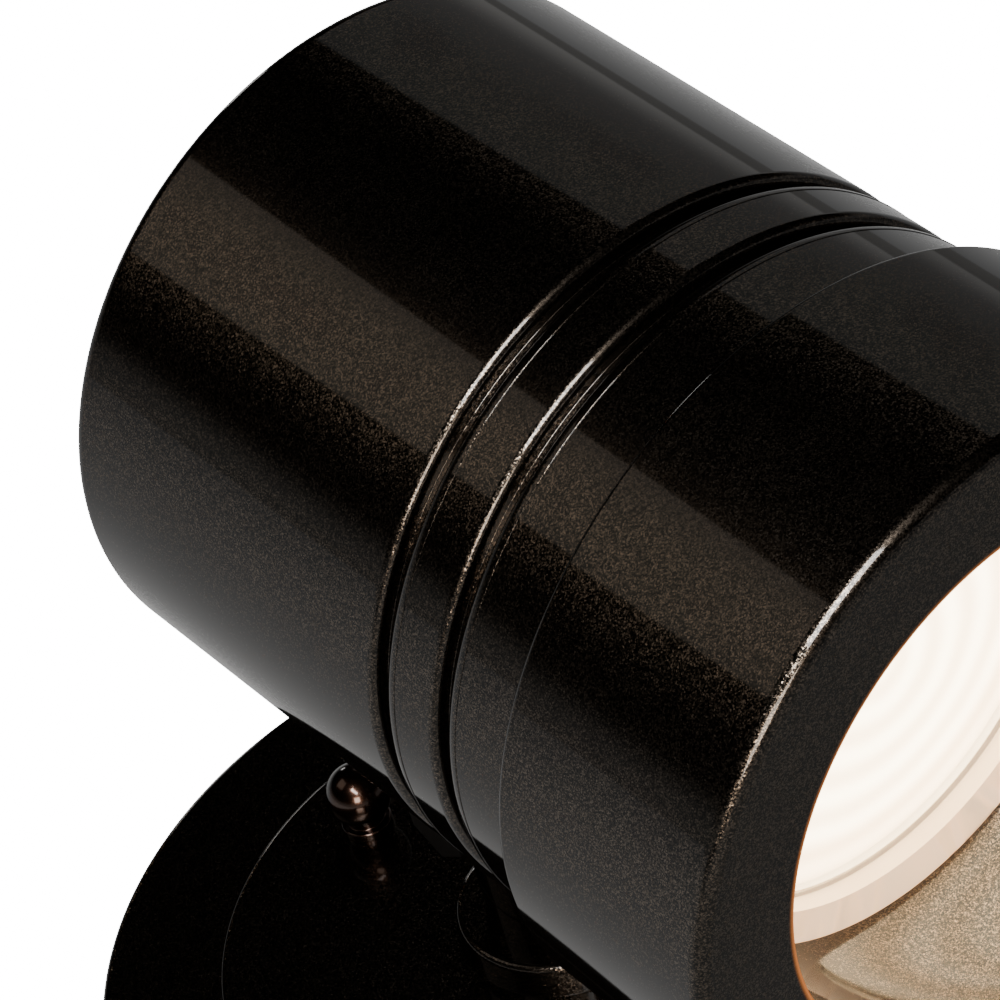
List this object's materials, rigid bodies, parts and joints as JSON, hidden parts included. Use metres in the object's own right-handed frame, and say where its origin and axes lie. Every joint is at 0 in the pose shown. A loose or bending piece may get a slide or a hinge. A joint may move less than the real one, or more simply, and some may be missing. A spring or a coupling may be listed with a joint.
{
  "type": "adjustable spotlight",
  "caption": "Cylindrical outdoor spotlight head with a deep bezel, on a clamped swivel knuckle above a round canopy with ball cap nuts.",
  "frame": {"origin": "centre of the canopy's mounting plane, on the back of its gasket", "axes": "+Z along the canopy's axis out of the wall or ceiling, the head points towards -Y, the tilt axis lies along X"},
  "size_m": [0.131, 0.1789, 0.1578],
  "materials": {
    "bronze_paint": "dark bronze metallic powder coat, semi-gloss",
    "bronze_nut": "dark bronze gloss coat",
    "foam_rubber": "closed-cell foam",
    "zinc_steel": "zinc plated",
    "green_steel": "green passivated",
    "lead_sleeve": "glass-fibre sleeved lead",
    "black_steel": "black oxide",
    "fibre": "vulcanised fibre",
    "black_nylon": "moulded nylon",
    "black_rubber": "moulded rubber",
    "clear_glass": "toughened clear",
    "pale_silicone": "moulded silicone",
    "reflector": "aluminised pressed glass",
    "lamp_glass": "stippled pressed glass",
    "nickel_brass": "nickel plated",
    "solder": "solder on black glass",
    "porcelain": "glazed porcelain"
  },
  "bodies": {
    "base": {"canopy": "bronze_paint", "canopy_gasket": "foam_rubber", "crossbar": "zinc_steel", "canopy_studs": "zinc_steel", "ground_screw": "green_steel"},
    "nut_front": {"ball_nut_front": "bronze_nut"},
    "nut_rear": {"ball_nut_rear": "bronze_nut"},
    "post": {"swivel_post": "bronze_paint", "post_washer": "zinc_steel", "post_nut": "zinc_steel", "lead_stubs": "lead_sleeve", "pivot_bolt": "black_steel", "pivot_washers": "black_steel", "friction_washers": "fibre"},
    "knob": {"tilt_knob": "black_nylon"},
    "head": {"knuckle_arm": "bronze_paint", "arm_nut": "zinc_steel", "housing": "bronze_paint", "seal_ring": "black_rubber", "front_glass": "clear_glass", "glass_gasket": "pale_silicone", "socket_body": "porcelain", "socket_shell": "nickel_brass", "socket_contact": "nickel_brass", "socket_screws": "zinc_steel", "socket_leads": "lead_sleeve"},
    "front_ring": {"bezel": "bronze_paint"},
    "lamp": {"lamp_reflector": "reflector", "lamp_lens": "lamp_glass", "lamp_capsule": "lamp_glass", "lamp_cap": "nickel_brass", "lamp_contact": "solder"}
  },
  "joints": [
    {"name": "pan", "type": "hinge", "parent": "base", "child": "post", "pos_m": [0, 0, 0.015], "axis": [0, 0, 1], "range_deg": [-170, 170]},
    {"name": "tilt", "type": "hinge", "parent": "post", "child": "head", "pos_m": [0, 0, 0.0422], "axis": [-1, 0, 0], "range_deg": [-30, 90]},
    {"name": "knob_turn", "type": "hinge", "parent": "post", "child": "knob", "pos_m": [0.012, 0, 0.0422], "axis": [1, 0, 0], "continuous": true},
    {"name": "bezel_turn", "type": "hinge", "parent": "head", "child": "front_ring", "pos_m": [0, -0.03617, 0.10882], "axis": [0, -0.9922, -0.1245], "range_deg": [0, 360]},
    {"name": "lamp_turn", "type": "hinge", "parent": "head", "child": "lamp", "pos_m": [0, -0.03617, 0.10882], "axis": [0, -0.9922, -0.1245], "range_deg": [0, 360]},
    {"name": "nut_front_turn", "type": "hinge", "parent": "base", "child": "nut_front", "pos_m": [0.00693, -0.03563, 0.02], "axis": [0, 0, 1], "continuous": true},
    {"name": "nut_rear_turn", "type": "hinge", "parent": "base", "child": "nut_rear", "pos_m": [-0.00693, 0.03563, 0.02], "axis": [0, 0, 1], "continuous": true}
  ]
}
